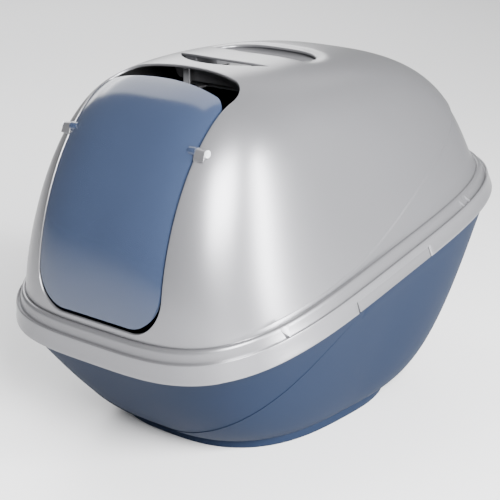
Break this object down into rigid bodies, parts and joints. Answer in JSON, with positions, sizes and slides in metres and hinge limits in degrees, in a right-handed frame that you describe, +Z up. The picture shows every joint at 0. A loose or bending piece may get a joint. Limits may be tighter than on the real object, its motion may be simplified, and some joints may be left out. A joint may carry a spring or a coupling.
{
  "type": "hooded cat litter box",
  "caption": "Hooded litter box for a cat: deep pan, domed hood with a tinted swing door, carry handle over a finger well, and an odour filter under it.",
  "frame": {"origin": "middle of the footprint's bounding box, on the floor under the foot ring", "axes": "+Z up, the doorway faces -Y, +X is the right side seen from the front"},
  "size_m": [0.396, 0.5618, 0.4125],
  "materials": {
    "pan_plastic": "satin moulded polypropylene, slate blue",
    "hood_plastic": "silver-grey polypropylene with a fine pearl pigment, satin gloss",
    "tinted_plastic": "clear plastic tinted blue-grey, glossy",
    "clear_plastic": "clear moulded plastic",
    "cup_plastic": "silver-grey polypropylene, satin",
    "filter_fleece": "charcoal fleece"
  },
  "bodies": {
    "pan": {"base_pan": "pan_plastic"},
    "hood": {"hood_shell": "hood_plastic", "hinge_pin_left": "clear_plastic", "hinge_pin_right": "clear_plastic", "handle_cup": "cup_plastic", "carbon_filter": "filter_fleece"},
    "door": {"entry_door": "tinted_plastic"},
    "clip_left": {"side_clip_left": "hood_plastic"},
    "clip_right": {"side_clip_right": "hood_plastic"},
    "cover": {"filter_cover": "cup_plastic"}
  },
  "joints": [
    {"name": "hood_lift", "type": "slide", "parent": "pan", "child": "hood", "axis": [0, -0.213, 0.977], "range_m": [0, 0.08]},
    {"name": "door_swing", "type": "hinge", "parent": "hood", "child": "door", "pos_m": [0, -0.20869, 0.3473], "axis": [1, 0, 0], "range_deg": [-60, 75]},
    {"name": "clip_left_flex", "type": "hinge", "parent": "hood", "child": "clip_left", "pos_m": [-0.1956, -0.01441, 0.19325], "axis": [0, 0.977, 0.213], "range_deg": [0, 10], "stiffness_Nm_per_rad": 0.1},
    {"name": "clip_right_flex", "type": "hinge", "parent": "hood", "child": "clip_right", "pos_m": [0.1956, -0.01441, 0.19325], "axis": [0, -0.977, -0.213], "range_deg": [0, 10], "stiffness_Nm_per_rad": 0.1},
    {"name": "filter_cover_swing", "type": "hinge", "parent": "hood", "child": "cover", "pos_m": [0, 0.00186, 0.3844], "axis": [1, 0, 0], "range_deg": [0, 80]}
  ]
}
